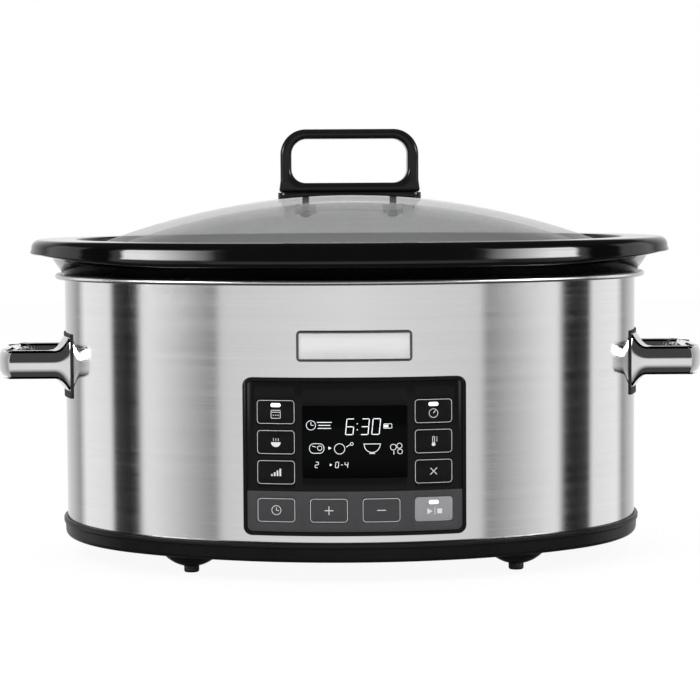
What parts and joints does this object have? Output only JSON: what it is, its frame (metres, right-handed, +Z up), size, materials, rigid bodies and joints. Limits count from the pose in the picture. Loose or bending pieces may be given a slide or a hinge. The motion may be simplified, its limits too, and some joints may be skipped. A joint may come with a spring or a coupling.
{
  "type": "slow cooker",
  "caption": "Oval electric slow cooker with a steel shell, lift-out stoneware crock, domed glass lid, loop side handles and a curved digital control panel with push keys.",
  "frame": {"origin": "on the ground under the middle of the oval, where the rubber feet stand", "axes": "+Z up, +X to the right seen from the front, the control panel faces -Y"},
  "size_m": [0.41, 0.28, 0.2461],
  "materials": {
    "brushed_steel": "fine horizontal brushing",
    "polished_steel": "polished",
    "heater_metal": "dull",
    "base_plastic": "satin black",
    "black_rubber": "matte",
    "zinc_steel": "zinc plated",
    "fuse_ceramic": "white ceramic",
    "board_green": "solder mask",
    "part_blue": "moulded",
    "part_yellow": "tape wrapped",
    "part_green": "moulded",
    "part_black": "moulded",
    "cable_grey": "ribbed",
    "handle_metal": "dark polished",
    "plate_metal": "satin with a dark polished frame",
    "panel_black": "gloss",
    "key_black": "gloss with a pale outline",
    "key_dark_grey": "satin with a pale outline",
    "key_grey": "satin",
    "lamp_white": "translucent white",
    "display_lens": "smoked",
    "display_dark": "dark display",
    "stoneware_black": "black glaze",
    "lid_glass": "clear tempered",
    "lid_plastic": "satin black",
    "washer_clear": "clear silicone",
    "screw_dark": "black oxide"
  },
  "bodies": {
    "base": {"shell": "brushed_steel", "heating_well": "polished_steel", "heater_band": "heater_metal", "band_clamps": "heater_metal", "base_pan": "base_plastic", "cord_gland": "base_plastic", "rubber_feet": "black_rubber", "handle_gaskets": "black_rubber", "centre_stud": "zinc_steel", "stand_off_tube": "zinc_steel", "base_nut": "zinc_steel", "handle_screws": "zinc_steel", "badge_nuts": "zinc_steel", "board_screws": "zinc_steel", "temperature_sensor": "zinc_steel", "thermal_fuse": "fuse_ceramic", "power_board": "board_green", "control_board": "board_green", "relay": "part_blue", "transformer": "part_yellow", "terminal_block": "part_green", "tact_switches": "part_black", "ribbon_cable": "cable_grey", "handle_left": "handle_metal", "handle_right": "handle_metal", "badge_plate": "plate_metal", "panel_bezel": "panel_black", "panel_fascia": "panel_black", "display_window": "display_lens", "lcd_module": "display_dark"},
    "crock": {"crock": "stoneware_black"},
    "lid": {"lid_glass": "lid_glass", "lid_handle": "lid_plastic", "lid_handle_base": "lid_plastic", "lid_washers": "washer_clear", "lid_screws": "screw_dark"},
    "key_schedule": {"key_schedule": "key_black", "lamp_schedule": "lamp_white"},
    "key_food": {"key_food": "key_black"},
    "key_amount": {"key_amount": "key_black"},
    "key_manual": {"key_manual": "key_black", "lamp_manual": "lamp_white"},
    "key_temperature": {"key_temperature": "key_black"},
    "key_cancel": {"key_cancel": "key_black"},
    "key_clock": {"key_clock": "key_dark_grey"},
    "key_hour": {"key_hour": "key_dark_grey"},
    "key_minute": {"key_minute": "key_dark_grey"},
    "key_start": {"key_start": "key_grey", "lamp_start": "lamp_white"}
  },
  "joints": [
    {"name": "crock_lift", "type": "slide", "parent": "base", "child": "crock", "axis": [0, 0, 1], "range_m": [0, 0.2]},
    {"name": "lid_lift", "type": "slide", "parent": "crock", "child": "lid", "axis": [0, 0, 1], "range_m": [0, 0.12]},
    {"name": "press_schedule", "type": "slide", "parent": "base", "child": "key_schedule", "axis": [0, 1, 0], "range_m": [0, 0.0006], "stiffness_N_per_m": 400},
    {"name": "press_food", "type": "slide", "parent": "base", "child": "key_food", "axis": [0, 1, 0], "range_m": [0, 0.0006], "stiffness_N_per_m": 400},
    {"name": "press_amount", "type": "slide", "parent": "base", "child": "key_amount", "axis": [0, 1, 0], "range_m": [0, 0.0006], "stiffness_N_per_m": 400},
    {"name": "press_manual", "type": "slide", "parent": "base", "child": "key_manual", "axis": [0, 1, 0], "range_m": [0, 0.0006], "stiffness_N_per_m": 400},
    {"name": "press_temperature", "type": "slide", "parent": "base", "child": "key_temperature", "axis": [0, 1, 0], "range_m": [0, 0.0006], "stiffness_N_per_m": 400},
    {"name": "press_cancel", "type": "slide", "parent": "base", "child": "key_cancel", "axis": [0, 1, 0], "range_m": [0, 0.0006], "stiffness_N_per_m": 400},
    {"name": "press_clock", "type": "slide", "parent": "base", "child": "key_clock", "axis": [0, 1, 0], "range_m": [0, 0.0006], "stiffness_N_per_m": 400},
    {"name": "press_hour", "type": "slide", "parent": "base", "child": "key_hour", "axis": [0, 1, 0], "range_m": [0, 0.0006], "stiffness_N_per_m": 400},
    {"name": "press_minute", "type": "slide", "parent": "base", "child": "key_minute", "axis": [0, 1, 0], "range_m": [0, 0.0006], "stiffness_N_per_m": 400},
    {"name": "press_start", "type": "slide", "parent": "base", "child": "key_start", "axis": [0, 1, 0], "range_m": [0, 0.0006], "stiffness_N_per_m": 400}
  ]
}
